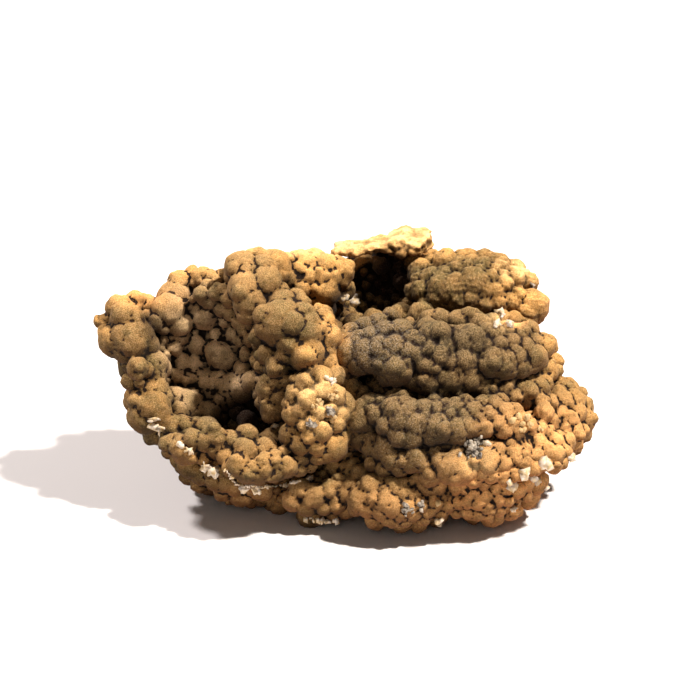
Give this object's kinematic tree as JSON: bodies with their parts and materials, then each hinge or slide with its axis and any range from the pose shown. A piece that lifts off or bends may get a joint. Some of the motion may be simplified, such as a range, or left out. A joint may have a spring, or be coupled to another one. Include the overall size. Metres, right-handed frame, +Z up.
{
  "type": "mottramite mineral specimen",
  "caption": "Natural botryoidal mineral specimen: olive-brown round lobes over an open broken bowl, a ledged mass and a small roofed cavity; rests on its underside.",
  "frame": {"origin": "middle of the specimen's box, on the surface that it rests on", "axes": "+X from the bowl's end to the rounded end, the longest way; +Y from the front to the back; +Z up"},
  "size_m": [0.1102, 0.0652, 0.0546],
  "materials": {
    "crust": "matte, velvety"
  },
  "bodies": {
    "root": {"mottramite": "crust"}
  },
  "joints": []
}
